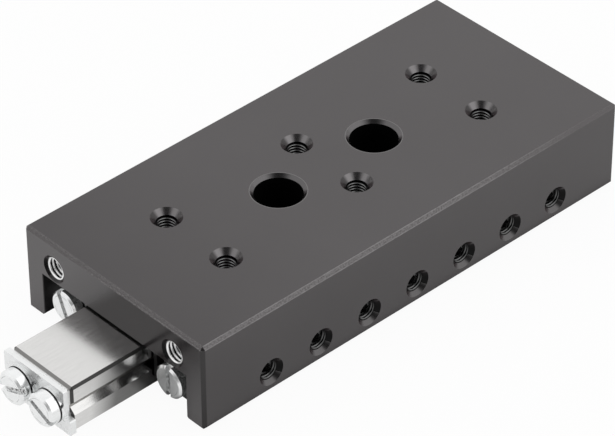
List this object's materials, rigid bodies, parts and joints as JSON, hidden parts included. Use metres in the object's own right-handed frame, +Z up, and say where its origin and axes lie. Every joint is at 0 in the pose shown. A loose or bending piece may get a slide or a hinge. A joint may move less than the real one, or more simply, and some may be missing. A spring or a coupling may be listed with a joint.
{
  "type": "crossed roller slide guide",
  "caption": "Low linear slide table: a tapped channel-shaped carriage runs on caged crossed rollers along a slim V-grooved base bar.",
  "frame": {"origin": "centre of the base bar's underside, which is the middle of its row of mounting holes", "axes": "+X along the travel, towards the rear end that the carriage leans out over; +Y to the left side, away from the adjusting screws; +Z up, out of the carriage's top face"},
  "size_m": [0.1558, 0.06, 0.024],
  "materials": {
    "black_coated_body": "satin black coating",
    "ground_steel": "fine ground",
    "rail_steel": "fine ground",
    "cage_sheet": "blackened punched sheet",
    "roller_steel": "polished",
    "zinc_plate": "bright zinc",
    "zinc_screws": "bright zinc",
    "zinc_washers": "bright zinc",
    "black_oxide_screws": "black oxide"
  },
  "bodies": {
    "base": {"base_bar": "ground_steel", "front_end_plate": "zinc_plate", "rear_end_plate": "zinc_plate", "front_plate_screws": "zinc_screws", "rear_plate_screws": "zinc_screws", "front_plate_washers": "zinc_washers", "rear_plate_washers": "zinc_washers"},
    "carriage": {"carriage": "black_coated_body", "left_rail": "rail_steel", "right_rail": "rail_steel", "front_rail_screws": "zinc_screws", "rear_rail_screws": "zinc_screws", "front_rail_washers": "zinc_washers", "rear_rail_washers": "zinc_washers", "preload_screws": "black_oxide_screws", "left_rail_bolts": "black_oxide_screws", "right_rail_bolts": "black_oxide_screws"},
    "left_cage": {"left_cage": "cage_sheet", "left_rollers": "roller_steel"},
    "right_cage": {"right_cage": "cage_sheet", "right_rollers": "roller_steel"}
  },
  "joints": [
    {"name": "carriage_slide", "type": "slide", "parent": "base", "child": "carriage", "axis": [1, 0, 0], "range_m": [-0.0456, 0.0044]},
    {"name": "left_cage_slide", "type": "slide", "parent": "base", "child": "left_cage", "axis": [1, 0, 0], "range_m": [-0.0228, 0.0022]},
    {"name": "right_cage_slide", "type": "slide", "parent": "base", "child": "right_cage", "axis": [1, 0, 0], "range_m": [-0.0228, 0.0022]}
  ],
  "couplings": [
    {"joint": "left_cage_slide", "follows": "carriage_slide", "ratio": 0.5},
    {"joint": "right_cage_slide", "follows": "carriage_slide", "ratio": 0.5}
  ]
}
